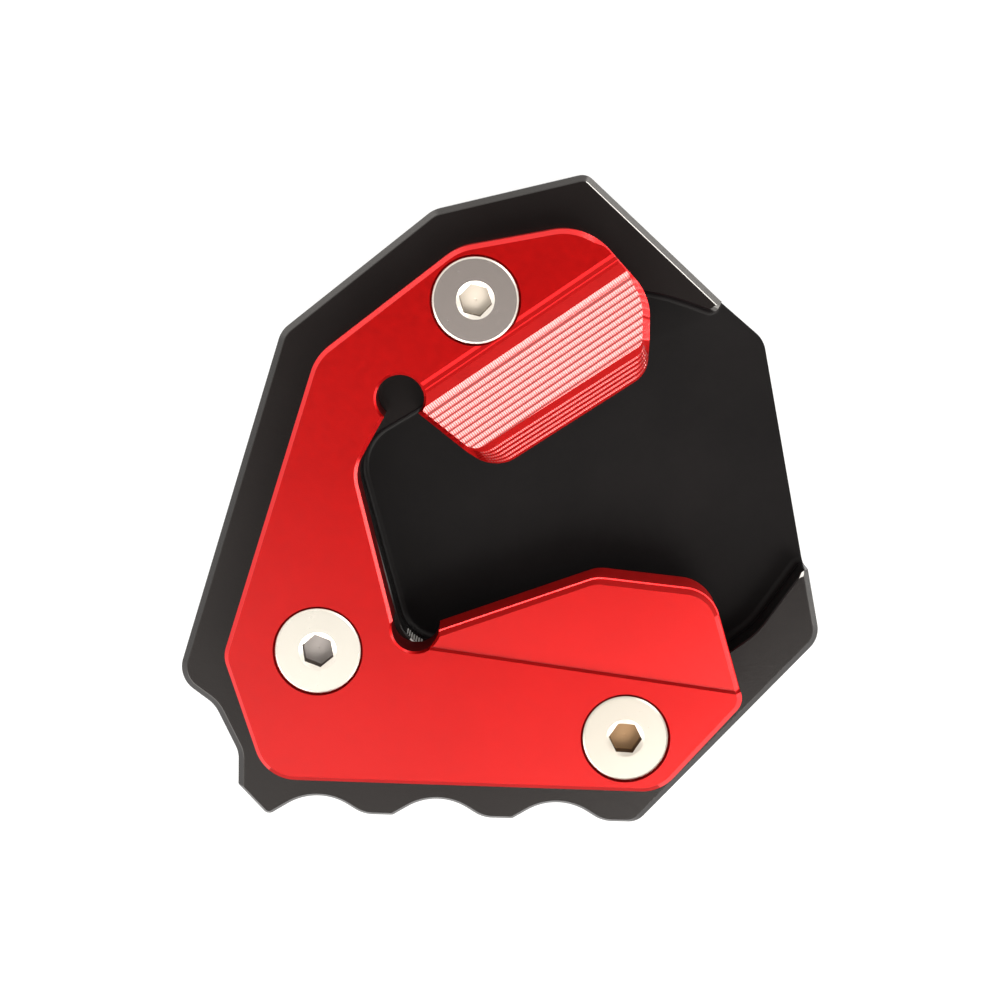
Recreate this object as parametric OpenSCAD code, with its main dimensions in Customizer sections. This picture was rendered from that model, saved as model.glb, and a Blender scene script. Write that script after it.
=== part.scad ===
// Bolt-on foot enlarger for a motorcycle side stand: a pocketed base plate that lies
// on the ground, a C-shaped clamp plate on top of it, and three countersunk screws.
// The stand's foot lies in the pocket, and the clamp's two jaws hold it down.
// +Z is up, the underside is z = 0, and the origin is the middle of the base's outline.

/* [Base plate] */
// Thickness of the base plate
base_t = 13; // [12:0.5:16]
// Thickness left under the foot pocket
floor_t = 5.5; // [4:0.5:7]

/* [Clamp plate] */
// Thickness of the clamp plate
clamp_t = 8; // [8:0.5:10]
// Radius of the two round reliefs at the roots of the jaws
relief_r = 3.3; // [3.2:0.1:3.6]
// Number of milled steps on the upper jaw's slope
rib_count = 10; // [6:1:14]
// Depth of the step across the lower jaw
step_drop = 0.9; // [0.4:0.1:1.5]

/* [Screws] */
// Diameter of the screw heads
head_d = 12; // [11.4:0.1:12]
// Width across the flats of the hex sockets
socket_af = 4; // [3:0.5:5]
// Depth of the hex sockets
socket_depth = 2.5; // [2:0.1:3]
// Overall length of a screw, head included
screw_l = 16; // [14:1:18]

/* [Hidden] */
$fn = 64;

// Fits and small sizes
thread_r = 3;
shank_r = thread_r - 0.05;
clearance_hole_r = 3.25;
seat_gap = 0.05;
head_land = 0.3;
head_sink = 0.15;
tip_chamfer = 0.6;
mouth_r = 2.6;
drill_r = 1.8;
drill_depth = 0.9;
past = 1;
arc_step = 6;

// Heights that follow from the thicknesses
top_z = base_t + clamp_t;
head_z = top_z - head_sink;
land_z = head_z - head_land;
tip_z = head_z - screw_l;
head_r = head_d / 2;

// Screw positions and the turn of each hex socket
screw_top_at = [-3.4, 29.2];
screw_left_at = [-25.4, -19.5];
screw_right_at = [17.5, -31.9];
socket_turn_top = 46;
socket_turn_left = 39;
socket_turn_right = 56;

// Scalloped lower edge: the line through the tips of its teeth, and one scallop
tooth_x = 17;
tooth_y = -46.05;
tooth_rise = 0.03;
tooth_round_r = 5;
tooth_sharp_r = 1;
scallop_x = 8.2;
scallop_pitch = 17.2;
scallop_half_w = 6.5;
scallop_peak = 3.95;
scallop_r = 8.2;

// Corners of the base outline: [x, y, radius of the rounding]
corner_n = [12.05, 46.4, 2];
tip_corner = [-33.4, -45.05, 1];
corner_ne = [37.7, 22.85, 4];
corner_e = [45.55, -19.2, 3.8];
floor_corner_n = [30.75, 28.85, 0];
rim_end_north = [30.75, 28.85, 0.5];
rim_end_east = along(corner_ne, corner_e, 0.745, 0.9);
outer_corners = concat(
    [corner_e, [19.7, -46.1, 3]],
    [for (i = [0 : 2]) each scallop(scallop_x - i * scallop_pitch, i == 2 ? tip_corner : [])],
    [[-37.6, -40.5, 0.5], [-37.5, -35.8, 4], [-40.8, -28.9, 5], [-46.1, -24.9, 4]],
    [[-30.75, 24.55, 4], [-9.35, 41.4, 4], corner_n]);

// Corners of the foot pocket, from its north mouth round to its east mouth
pocket_corners = [
    [30.2, 27.3, 0.4], [23.5, 29.5, 30], [17, 30.5, 6], [-21, 8, 7],
    [-13.3, -20.5, 6], [29.1, -23.6, 6], [36.5, -18.4, 12]];

// Round reliefs of the clamp plate
relief_upper = [-13.8, 15.7];
relief_lower = [-11.8, -16.3];

// Corners of the clamp plate's outline; three of them lie inside the round reliefs
clamp_corners = [
    [-5.9, 36.4, 8], [11.8, 39.6, 8.3], [20.7, 29.7, 8], [20.7, 18.6, 4],
    [-0.8, 4.8, 4.8], [-14.4, 16, 0], [-20.1, 5.8, 5.5], [-14.8, -15.9, 0], [-9, -16.7, 0],
    [13.8, -8.85, 5], [29.4, -10.7, 5.5], [34.05, -27.05, 2.6], [22.5, -39.7, 6],
    [-32.9, -37.8, 6], [-38.6, -20.3, 4], [-25.35, 21.5, 7]];

// Upper jaw: middle of its crease, the crease's direction, and its cross-section as
// distances from the crease and drops below the clamp's top face
crease_at = [1.9, 26.55];
crease_turn = 34;
crease_edge = 0.25;
rib_start = [3.4, 1.9];
rib_end = [12.7, 3.3];
jaw_edge = [13.8, 4.3];
jaw_foot = 16.6;
rib_depth = 0.12;
rib_points = 6;
cove_points = 8;
cut_reach = 20;

// Lower jaw: middle of its step, the step's direction and the width of its slope
step_at = [12.25, -22.6];
step_turn = -8.4;
step_w = 0.5;
step_rise = 0.35;
step_reach = 23.5;

function xy(p) = [p.x, p.y];
function unit(v) = v / norm(v);
function spin(v, a) = [v.x * cos(a) - v.y * sin(a), v.x * sin(a) + v.y * cos(a)];

// The point at a fraction of the way from corner p to corner q, with a radius
function along(p, q, part, r) =
    let (at = xy(p) + part * (xy(q) - xy(p))) [at.x, at.y, r];

// Points that round corner q of the path p, q, s by the radius q[2]
function corner(p, q, s) =
    let (
        u = unit(xy(p) - xy(q)),
        v = unit(xy(s) - xy(q)),
        half = acos(u * v) / 2,
        middle = xy(q) + unit(u + v) * q[2] / sin(half),
        first = xy(q) + u * q[2] / tan(half) - middle,
        sweep = (180 - 2 * half) * sign(cross(v, u)),
        steps = max(1, ceil(abs(sweep) / arc_step)))
    q[2] == 0 ? [xy(q)] : [for (i = [0 : steps]) middle + spin(first, sweep * i / steps)];

// A closed outline with every corner rounded
function rounded(path) =
    let (n = len(path))
    [for (i = [0 : n - 1]) each corner(path[(i + n - 1) % n], path[i], path[(i + 1) % n])];

// The line of the tooth tips, and one scallop cut up into it, which ends at the given
// corner or, with none given, back on the line
function edge_y(x) = tooth_y + tooth_rise * (tooth_x - x);
function scallop(x, end) = [
    [x + scallop_half_w, edge_y(x + scallop_half_w), tooth_round_r],
    [x, edge_y(x) + scallop_peak, scallop_r],
    len(end) > 0 ? end : [x - scallop_half_w, edge_y(x - scallop_half_w), tooth_sharp_r]];

// Quarter cove that falls from the crease to the start of the milled slope
cove = [for (i = [0 : cove_points])
    let (a = 90 * i / cove_points)
    [rib_start[0] * (1 - cos(a)), crease_edge + (rib_start[1] - crease_edge) * sin(a)]];

// Shallow hollow steps down the slope, each one a sine arch
ribs = [for (i = [1 : rib_count * rib_points])
    let (
        part = i / (rib_count * rib_points),
        dip = rib_depth * abs(sin(180 * i / rib_points)))
    [rib_start[0] + part * (rib_end[0] - rib_start[0]),
     rib_start[1] + part * (rib_end[1] - rib_start[1]) + dip]];

upper_jaw_profile = concat(
    [[0, -past]], cove, ribs, [jaw_edge, [jaw_foot, clamp_t], [jaw_foot, clamp_t + past]],
    [[jaw_foot + past, clamp_t + past], [jaw_foot + past, -past]]);

lower_jaw_profile = [
    [0, -past], [0, 0], [step_w, step_drop], [cut_reach, step_drop - step_rise],
    [cut_reach, -past]];

// Removes what lies above a cross-section, swept along a line on the clamp's top face
module sweep_cut(at, turn, side, profile, from, to) {
    translate([at.x, at.y, top_z])
        rotate(turn)
            translate([from, 0, 0])
                rotate([90, 0, 90])
                    linear_extrude(to - from)
                        polygon([for (p = profile) [side * p[0], -p[1]]]);
}

// Clearance hole and 90 degree countersink for one screw
module screw_seat(at) {
    rise = past + head_sink + head_land;
    translate([at.x, at.y, 0]) {
        translate([0, 0, base_t - past])
            cylinder(r = clearance_hole_r, h = clamp_t + 2 * past);
        translate([0, 0, land_z - head_r])
            cylinder(r1 = seat_gap, r2 = head_r + seat_gap + rise, h = head_r + rise);
    }
}

module base_plate() {
    color([0.13, 0.13, 0.13])
        difference() {
            union() {
                linear_extrude(floor_t)
                    polygon(rounded(concat(outer_corners, [floor_corner_n, corner_ne])));
                linear_extrude(base_t)
                    polygon(rounded(concat(
                        outer_corners, [rim_end_north], pocket_corners, [rim_end_east])));
            }
            for (at = [screw_top_at, screw_left_at, screw_right_at])
                translate([at.x, at.y, -past])
                    cylinder(r = thread_r, h = base_t + 2 * past);
        }
}

module clamp_plate() {
    color([0.8, 0.08, 0.08])
        difference() {
            translate([0, 0, base_t])
                linear_extrude(clamp_t)
                    polygon(rounded(clamp_corners));
            for (at = [relief_upper, relief_lower])
                translate([at.x, at.y, base_t - past])
                    cylinder(r = relief_r, h = clamp_t + 2 * past);
            sweep_cut(crease_at, crease_turn, -1, upper_jaw_profile, -cut_reach, cut_reach);
            sweep_cut(step_at, step_turn, 1, lower_jaw_profile, -step_reach, step_reach);
            for (at = [screw_top_at, screw_left_at, screw_right_at])
                screw_seat(at);
        }
}

// Countersunk hex-socket screw, drawn where it sits
module screw(at, turn) {
    cone_h = head_r - shank_r;
    edge = head_land / 2;
    color([0.78, 0.77, 0.74])
        translate([at.x, at.y, 0])
            rotate(turn)
                difference() {
                    rotate_extrude()
                        polygon([
                            [0, tip_z], [shank_r - tip_chamfer, tip_z],
                            [shank_r, tip_z + tip_chamfer], [shank_r, land_z - cone_h],
                            [head_r, land_z], [head_r, head_z - edge],
                            [head_r - edge, head_z], [0, head_z]]);
                    translate([0, 0, head_z - socket_depth])
                        cylinder(d = socket_af / cos(30), h = socket_depth + past, $fn = 6);
                    translate([0, 0, head_z - socket_depth - drill_depth])
                        cylinder(r1 = 0, r2 = drill_r, h = drill_depth);
                    translate([0, 0, head_z - mouth_r])
                        cylinder(r1 = 0, r2 = mouth_r + past, h = mouth_r + past);
                }
}

module screw_top() { screw(screw_top_at, socket_turn_top); }
module screw_left() { screw(screw_left_at, socket_turn_left); }
module screw_right() { screw(screw_right_at, socket_turn_right); }

base_plate();
clamp_plate();
screw_top();
screw_left();
screw_right();
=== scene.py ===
"""Looks of the side stand foot enlarger: an anodised base plate and clamp plate with three
countersunk screws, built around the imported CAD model. Sizes below are in millimetres."""

import math

import bmesh
import bpy
from mathutils import Matrix, Vector
from mathutils.geometry import delaunay_2d_cdt


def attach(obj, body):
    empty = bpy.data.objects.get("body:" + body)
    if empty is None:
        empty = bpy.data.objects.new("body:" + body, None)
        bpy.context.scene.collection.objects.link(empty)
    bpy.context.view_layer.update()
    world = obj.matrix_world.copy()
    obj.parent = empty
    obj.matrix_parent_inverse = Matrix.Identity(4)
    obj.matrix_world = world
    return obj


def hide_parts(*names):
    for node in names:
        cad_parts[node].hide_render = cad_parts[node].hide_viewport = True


MM = 0.001

# Heights
BASE_T = 13.0
FLOOR_T = 5.5
TOP_Z = 21.0
HEAD_Z = 20.85

# Screws: place on the plate and turn of the hex socket, in degrees
SCREWS = {
    "top": ((-3.4, 29.2), 46),
    "left": ((-25.4, -19.5), 39),
    "right": ((17.5, -31.9), 56),
}
HEAD_R = 6.0
HEAD_LAND = 0.3
SHANK_R = 2.93
SCREW_L = 16.0
SOCKET_AF = 4.0
SOCKET_DEPTH = 2.5
MOUTH_R = 2.65
MOUTH_SLOPE = 0.36
RIM_W, RIM_DROP = 0.3, 0.13
RIM_EDGE_W, RIM_EDGE_DROP = 0.04, 0.05
LAND_Z = HEAD_Z - HEAD_LAND
NECK_Z = LAND_Z - (HEAD_R - SHANK_R)
TIP_Z = HEAD_Z - SCREW_L
SOCKET_Z = HEAD_Z - SOCKET_DEPTH
# Small edges of the socket: dimple in its floor, root of its walls, and its upper edge
AXIS_R = 0.02
DIMPLE_R, DIMPLE_DROP = 0.2, 0.06
SOCKET_ROOT = 0.08
SOCKET_EDGE_W, SOCKET_EDGE_DROP = 0.03, 0.04
# A screw's face belongs to the socket when its middle is this far inside the mouth and
# below the head's top. How near to a level it has to be to count as the floor or the top
SOCKET_IN, SOCKET_BELOW = 0.2, 0.4
FLOOR_NEAR, FLAT_NEAR = 0.1, 0.001
# Thread, with the neck above it and the chamfered tip below it
THREAD_DEPTH = 0.5
THREAD_PITCH = 1.0
THREAD_ROWS = 8
THREAD_FADE_TOP, THREAD_FADE_LOW = 0.8, 0.6
THREAD_CREST = 0.02
NECK_EXTRA = 0.05
RUNOUT_DEPTH, RUNOUT_L = 0.1, 0.3
TIP_L, TIP_IN = 0.5, 0.75
THREAD_TOP, THREAD_LOW = NECK_Z - RUNOUT_L, TIP_Z + TIP_L

# Countersinks: radius and depth of the short wall at the mouth, its least depth where the
# jaw is cut away, how far from the radius a rim may be, and the search steps for the mouth
SEAT_R = 6.28
SEAT_WALL = 0.7
SEAT_LEDGE = 0.01
SEAT_NEAR = 0.5
SEAT_HALVINGS = 30
# Clearance holes and tapped holes, and how far the cutters reach past the plate
HOLE_R = 3.25
TAPPED_R = 3.0
TAPPED_CHAMFER = 0.4
PAST = 1

# Base plate outline: corners as (x, y, radius), clockwise
EDGE_X, EDGE_Y, EDGE_RISE = 17.0, -46.05, 0.03
SCALLOP_COUNT = 3
SCALLOP_X, SCALLOP_PITCH, SCALLOP_HALF_W = 8.2, 17.2, 6.5
SCALLOP_PEAK, SCALLOP_R = 3.95, 8.2
TOOTH_ROUND_R, TOOTH_SHARP_R = 5.0, 1.0
TIP_CORNER = (-33.4, -45.05, 1.0)
LEFT_CORNERS = [
    (-37.6, -40.5, 0.5), (-37.5, -35.8, 4), (-40.8, -28.9, 5), (-46.1, -24.9, 4),
    (-30.75, 24.55, 4), (-9.35, 41.4, 4), (12.05, 46.4, 2),
]
RIGHT_CORNERS = [(30.75, 28.85, 4), (37.7, 22.85, 4), (45.55, -19.2, 3.8), (19.7, -46.1, 3)]
EDGE_CHAMFER = 0.8
EDGE_CHAMFER_W = 0.83
SCALLOP_CHAMFER = 0.45
EDGE_BEVEL_W, EDGE_BEVEL_DROP = 0.13, 0.05
FOOT_CHAMFER = 0.5
# Least lean of the smoother chamfers towards +Y, and of the part of the thin top bevel towards +X
# that is coloured as bare metal
SMOOTH_LEAN, BARE_BEVEL_LEAN = 0.2, 0.15

# Foot pocket: its wall from the north mouth to the east mouth, then round outside the plate
POCKET_WALL = [
    (31.6, 29.6, 0.2), (30.2, 27.1, 0.7), (23.5, 29.5, 30), (17, 30.5, 6), (-21, 8, 7),
    (-13.3, -20.5, 6), (29.1, -23.6, 6), (36.5, -18.4, 12), (42.9, -9.5, 0.9),
    (46.6, -8.6, 0.2),
]
POCKET_OUTSIDE = [(60, -8.6, 1), (60, 40, 1), (38, 40, 1)]
POCKET_FILLET = 1.1
FILLET_STEPS = 10
POCKET_EDGE = 0.2
RIM_END_EDGE = 0.75
RIM_END_EDGES = (0, 8)
CHATTER_CORNER = 5
CHATTER_STEP = 2.0
CHATTER_DEPTH = 0.04
CHATTER_AT, CHATTER_REACH = (-12.2, -19.3), 1.6
CHATTER_Z = (7.8, 12.3)
CHATTER_LIP_AT, CHATTER_LIP_REACH = (-11.6, -19.9), 1.5
# Bare chip at the rim's east end and smooth black at its north end. They are measured to the
# middles of the cutter's sloping edge faces, which lie up to 2.3 mm outside the pocket's wall
RIM_CHIP_AT, RIM_CHIP_REACH = (44.8, -11.3), 3.3
RIM_END_AT, RIM_END_REACH = (30.3, 28.2), 1.6

# Clamp plate outline: corner, then the chamfer width and the wall's draft on the edge
# from this corner to the next one
CLAMP = [
    ((-5.9, 36.4, 8), 0.65, 0), ((11.8, 39.6, 8.3), 0.75, 0), ((20.7, 29.7, 8), 1.05, 0),
    ((20.7, 18.6, 4), 4.2, 0), ((-0.8, 4.8, 4.8), 0.7, 0), ((-14.4, 16, 0), 0.45, 0),
    ((-20.1, 5.8, 5.5), 0.45, 0), ((-14.8, -15.9, 0), 0.45, 0), ((-9, -16.7, 0), 0.85, 0.2),
    ((13.8, -8.85, 5), 0.95, 0.4), ((29.4, -10.7, 5.5), 0.75, 0), ((34.05, -27.05, 2.6), 0.75, 0),
    ((22.5, -39.7, 6), 0.6, 0), ((-32.9, -37.8, 6), 0.55, 0), ((-38.6, -20.3, 4), 0.6, 0),
    ((-25.35, 21.5, 7), 0.65, 0),
]
# Corners that lie inside a round relief: first corner, last corner, centre
RELIEFS = [(5, 5, (-13.8, 15.7)), (7, 8, (-11.8, -16.3))]
# Edges whose walls get painted shade, a near-black red for the shadow deep in the holes: the
# upper relief and the window's left side, and the lower relief, whose points all belong to its
# last corner
SHADED_EDGES = (5, 6)
LOWER_RELIEF = RELIEFS[1][1]
RELIEF_R = 3.3
RELIEF_EDGE = 0.3
RELIEF_STEPS = 48
# Corner after the edge where the crease runs out, and the corners of the upper jaw's foot
CREASE_CORNER = 2
FOOT_EDGE = 3
FOOT_CORNERS = (FOOT_EDGE, FOOT_EDGE + 1)
CREASE_POINTS = 18
BOTTOM_EDGE = 0.25
# Level lines on the outer wall, which are shallower where it is lower than WALL_LINE_FULL
WALL_LINES = 7
WALL_LINE_DEPTH = 0.04
WALL_LINE_FULL = 3
# Raised lip of the lower jaw's edge: its share of the chamfer and its height, where the jaw
# is, how its edges have to face, and from which weight the finish follows the lip
LIP_START = 0.75
LIP_RISE = 0.05
LIP_X, LIP_Y = -10, (-19, -5)
LIP_LEAN, LIP_LEAN_RANGE = 0.1, 0.3
LIP_CLEAR = 0.3
LIP_FACES = 4
# Edges that face -Y more than this get the dark matt red on their chamfer: painted shade on the
# side away from the lights
SHADED_CHAMFER_LEAN = -0.8
# The edge chamfer runs out at the upper jaw's crease: places along and across the crease
# where that counts, the least share of its width, and from where and over how far it grows
FADE_ALONG, FADE_ACROSS = 5, (-4, 7)
FADE_LEAST = 0.22
FADE_BEFORE, FADE_BEFORE_W = 0.7, 2.2
FADE_AFTER, FADE_AFTER_W = 2, 4

# Upper jaw: crease, and the cross-section as (distance from the crease, drop)
CREASE_AT, CREASE_TURN, CREASE_REACH = (1.9, 26.55), 34.0, 20.0
JAW_FOOT = 16.6
COVE = [(0, 0), (0.5, 0.28), (1.1, 1.14), (1.3, 1.26), (1.75, 1.76), (3.2, 1.8)]
RIB_PITCH = 0.886
RIB_FIRST = 1.5
RIB_COUNT = 10
RIB_DROP = 0.15
RIB_FACE = [(0.36, 0.085), (0.70, 0.215)]
RIBS_PAST = 8
# Its steep foot: a plain band, then milled steps, as shares of its width and of its height.
# It ends a little above the base plate, and grows out of the edge chamfer as that widens
FOOT_BAND, FOOT_BAND_FALL = 0.24, 0.75
JAW_FOOT_STEPS = 5
TREAD_W, TREAD_DROP = 0.42, 0.16
FOOT_LAND = 0.3
FOOT_NARROW, FOOT_WIDEN = 1.1, 2.4
FOOT_PLAIN = 0.4

# Lower jaw: step across it, and its cross-section
STEP_AT, STEP_TURN, STEP_REACH = (12.25, -22.6), -8.4, 23.5
STEP = [(0, 0), (0.3, 0.9), (20, 0.55)]

ARC_STEP = 4.0
HOLE_STEPS = 96
NEARLY_STRAIGHT = 0.05
LEAST_R = 0.05
WELD = 1e-4
TINY = 1e-9
# Angles in degrees above which an edge is drawn sharp
SHARP_PLATE, SHARP_SCREW = 9, 12

# Places of the finishes in each piece's list of materials
BASE_PLAIN, BASE_MILLED, BASE_BARE, BASE_EDGE, BASE_FILLET_SHADE = range(5)
CLAMP_PLAIN, CLAMP_RIBS, CLAMP_EDGE_HIGHLIGHT, CLAMP_WALL, CLAMP_BORE_SHADE = range(5)
SCREW_SIDE, SCREW_FLAT, SOCKET_FLOOR, SOCKET_WALL = range(4)

# Colours
RED_DARK, RED_LIGHT = (0.44, 0.003, 0.003), (0.48, 0.004, 0.004)
BLACK_DARK, BLACK_LIGHT = (0.010, 0.008, 0.008), (0.013, 0.011, 0.011)
MILLED_DARK, MILLED_LIGHT = (0.006, 0.005, 0.0055), (0.008, 0.007, 0.0075)
# Painted shade: the pocket's floor and fillet are darker than its milled walls
FILLET_PAINTED_SHADE = (0.005, 0.0045, 0.005)
# Noise: the range that a blend goes over, its roughness, and its scales per metre
NOISE_RANGE = (0.3, 0.7)
NOISE_ROUGH = 0.6
BLOTCHES, GLOSS_SPOTS, GRAIN = 60, 900, 5200
MILLED_BLOTCHES, MATT_BLOTCHES = 200, 300
STEEL_BLOTCHES, STEEL_GLOSS_SPOTS, STEEL_GRAIN = 150, 1200, 3000
# Spread of the roughness, and strength and depth in metres of the grain
GLOSS_SPREAD, STEEL_GLOSS_SPREAD = 0.03, 0.004
GRAIN_BUMP, GRAIN_DEPTH = 0.25, 0.00004
STEEL_BUMP, STEEL_DEPTH = 0.01, 0.00003
STEEL_SHADE = 0.99
MATT_METALLIC, MATT_SPECULAR = 0.3, 0.15
# Marks on the ribs: pitch and depth, how much they wander, and the gloss of their valleys.
# A wave texture of scale WAVE_SCALE has one wave for each unit of length
RIB_MARK_PITCH, RIB_MARK_DEPTH = 0.33, 0.017
RIB_MARK_WANDER = 0.6
RIB_VALLEY_GLOSS = 0.55
WAVE_SCALE = 0.3142

# Light: the tent's brightness at the horizon and high up; soft boxes as direction,
# angles where they start and are full, strength; the opening for the lens likewise
TENT_WALL = (0.3, 1.12)
TENT_START, TENT_FULL = 90, 40
TENT_COLOR = (1, 0.96, 0.90, 1)
SOFT_BOXES = [
    ((0.32, -0.48, 0.82), 19, 15, 6.5),
    ((-0.45, -0.6, 0.66), 32, 15, 2.9),
    ((0.56, 0.50, 0.66), 16, 8, 3.0),
]
# Low strip lights, each with the elevations where it ends and is full: 90 is the horizon
LOW_STRIPS = [
    ((0.73, 0.68, 0), 30, 16, 5.2, 97, 92),
    ((-0.75, 0.66, 0), 32, 14, 2.2, 97, 92),
    ((0, 1, 0), 50, 20, 1.3, 98, 93),
    ((1.0, -0.1, 0), 28, 14, 7.0, 102, 95),
    ((-0.85, -0.5, 0), 40, 20, 1.5, 97, 92),
]
LENS_HOLE = ((0.035, 0.03, 1), 20, 7)
LENS_HOLE_LEVEL = 0.04
FLOOR_ALBEDO = 0.25
FLOOR_GLOW = 0.86
FLOOR_ROUGH = 0.9
FLOOR_SIZE, FLOOR_Z = 3, -0.00002

# Camera: the clipping distance is in metres, and it leans from the vertical by 320 in 2500
LENS, SENSOR_W, CLIP_END = 90, 36, 20
CAMERA_LEAN = math.atan2(320, 2500)
CAMERA_DISTANCE = 345
CAMERA_TARGET = (-0.03, 1.71, TOP_Z)


def unit(v):
    return v / v.length


def right_normal(a, b):
    """Unit normal on the right of the way from a to b, which is inside a clockwise outline."""
    d = unit(b - a)
    return Vector((d.y, -d.x))


def inset_corner(prev, at, nxt, w0, w1):
    """Where the two edges that meet at a corner meet after moving inwards by w0 and w1."""
    n0, n1 = right_normal(prev, at), right_normal(at, nxt)
    det = n0.x * n1.y - n0.y * n1.x
    if abs(det) < NEARLY_STRAIGHT:
        return at + (n0 * w0 + n1 * w1) / 2
    return at + Vector(((w0 * n1.y - w1 * n0.y) / det, (w1 * n0.x - w0 * n1.x) / det))


def move_edges(at, widths):
    """The corners of an outline after each edge has moved inwards by its width."""
    n = len(at)
    return [inset_corner(at[i - 1], at[i], at[(i + 1) % n], widths[i - 1], widths[i])
            for i in range(n)]


def half_angle(u, v):
    """Half of the angle between two unit vectors."""
    return math.acos(max(-1, min(1, u.dot(v)))) / 2


def round_corner(prev, at, nxt, radius, steps):
    """Points of the arc that rounds a corner."""
    u, v = unit(prev - at), unit(nxt - at)
    half = half_angle(u, v)
    middle = at + unit(u + v) * (radius / math.sin(half))
    first = at + u * (radius / math.tan(half)) - middle
    sweep = (math.pi - 2 * half) * (1 if v.x * u.y - v.y * u.x > 0 else -1)
    turns = [Matrix.Rotation(sweep * i / steps, 2) for i in range(steps + 1)]
    return [middle + turn @ first for turn in turns]


def arc_steps(prev, at, nxt, step):
    """How many steps of at most so many degrees round a corner."""
    turn = 180 - math.degrees(2 * half_angle(unit(prev - at), unit(nxt - at)))
    return max(2, math.ceil(turn / step))


def rounded(corners, at, moved, widths, i, step):
    """Points that round one corner of an outline whose edges have moved inwards."""
    prev, here, nxt = at[i - 1], at[i], at[(i + 1) % len(at)]
    n0, n1 = right_normal(prev, here), right_normal(here, nxt)
    convex = n0.x * n1.y - n0.y * n1.x < 0
    mean = (widths[i - 1] + widths[i]) / 2
    radius = max(LEAST_R, corners[i][2] - mean if convex else corners[i][2] + mean)
    return round_corner(moved[i - 1], moved[i], moved[(i + 1) % len(at)], radius,
                        arc_steps(prev, here, nxt, step))


def outline(corners, widths, chatter=None):
    """A clockwise outline with rounded corners, each edge moved inwards by its width.
    The corner numbered chatter gets a fine zigzag."""
    at = [Vector(c[:2]) for c in corners]
    moved = move_edges(at, widths)
    points = []
    for i in range(len(corners)):
        step = CHATTER_STEP if i == chatter else ARC_STEP
        arc = rounded(corners, at, moved, widths, i, step)
        if i == chatter:
            arc = [p + unit(p - moved[i]) * CHATTER_DEPTH * (k % 2) for k, p in enumerate(arc)]
        points += arc
    return points


def circle_hit(a, b, centre, radius, last):
    """Where the line from a to b crosses a circle, the first or the last time."""
    d = unit(b - a)
    along = (centre - a).dot(d)
    half = math.sqrt(max(0, radius ** 2 - (centre - a - d * along).length ** 2))
    return a + d * (along + (half if last else -half))


def relief_arc(a, b, c, d, centre, radius):
    """The way round a relief, from edge a-b to edge c-d, the long way."""
    start = circle_hit(a, b, centre, radius, False) - centre
    end = circle_hit(c, d, centre, radius, True) - centre
    a0 = math.atan2(start.y, start.x)
    sweep = (math.atan2(end.y, end.x) - a0) % (2 * math.pi)
    angles = [a0 + sweep * k / RELIEF_STEPS for k in range(RELIEF_STEPS + 1)]
    return [centre + radius * Vector((math.cos(a), math.sin(a))) for a in angles]


def clamp_outline(widths, relief_extra):
    """The clamp's outline with each edge moved inwards, and its round reliefs cut in.
    Also gives, for each point, the number of the edge that leaves its corner."""
    corners = [c for c, _, _ in CLAMP]
    n = len(corners)
    at = [Vector(c[:2]) for c in corners]
    moved = move_edges(at, widths)
    reliefs = {first: (last, Vector(centre)) for first, last, centre in RELIEFS}
    points, owners = [], []
    i = 0
    while i < n:
        if i in reliefs:
            last, centre = reliefs[i]
            arc = relief_arc(moved[i - 1], moved[i], moved[last], moved[(last + 1) % n],
                             centre, RELIEF_R + relief_extra)
            i = last
        else:
            step = ARC_STEP / 2 if i in FOOT_CORNERS else ARC_STEP
            arc = rounded(corners, at, moved, widths, i, step)
        if i == CREASE_CORNER:
            start = points[-1]
            arc = [start.lerp(arc[0], k / CREASE_POINTS) for k in range(1, CREASE_POINTS)] + arc
        points += arc
        owners += [i] * len(arc)
        i += 1
    return points, owners


def upper_profile():
    """Cove, then the milled ribs, then on at the ribs' mean slope."""
    profile = list(COVE)
    s, drop = COVE[-1]
    for i in range(RIB_COUNT):
        p = RIB_PITCH * (RIB_FIRST if i == 0 else 1)
        profile += [(s + f * p, drop + d * p / RIB_PITCH) for f, d in RIB_FACE]
        s, drop = s + p, drop + RIB_DROP * p / RIB_PITCH
        profile.append((s, drop))
    return profile + [(s + RIBS_PAST, drop + RIBS_PAST * RIB_DROP / RIB_PITCH)]


UPPER = upper_profile()


def interpolate(profile, s):
    """Drop of a cross-section at a distance, straight from point to point."""
    for (s0, d0), (s1, d1) in zip(profile, profile[1:]):
        if s <= s1:
            return d0 + (d1 - d0) * max(0, s - s0) / (s1 - s0)
    return profile[-1][1]


def jaw_place(p, at, turn, side):
    """Distance of a point from a jaw's line, on the cut side, and place along it."""
    a = math.radians(turn)
    d = Vector(p) - Vector(at)
    along = d.x * math.cos(a) + d.y * math.sin(a)
    across = -d.x * math.sin(a) + d.y * math.cos(a)
    return side * across, along


def upper_place(p):
    return jaw_place(p, CREASE_AT, CREASE_TURN, -1)


def lower_place(p):
    return jaw_place(p, STEP_AT, STEP_TURN, 1)


def on_upper_jaw(s, t):
    """Whether a place from upper_place lies where the upper jaw is cut down."""
    return 0 < s < JAW_FOOT + 1 and abs(t) < CREASE_REACH


def on_lower_jaw(s, t):
    """Whether a place from lower_place lies where the lower jaw is cut down."""
    return 0 < s < STEP[-1][0] and abs(t) < STEP_REACH


def surface_z(p):
    """Height of the clamp's upper surface, before the edge chamfers."""
    s, t = upper_place(p)
    if on_upper_jaw(s, t):
        return TOP_Z - interpolate(UPPER, s)
    s, t = lower_place(p)
    if on_lower_jaw(s, t):
        return TOP_Z - interpolate(STEP, s)
    return TOP_Z


def smooth_z(p):
    """Height of the upper surface without the ribs' hollows."""
    s, t = upper_place(p)
    if s > COVE[-1][0] and on_upper_jaw(s, t):
        return TOP_Z - COVE[-1][1] - (s - COVE[-1][0]) * RIB_DROP / RIB_PITCH
    return surface_z(p)


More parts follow.
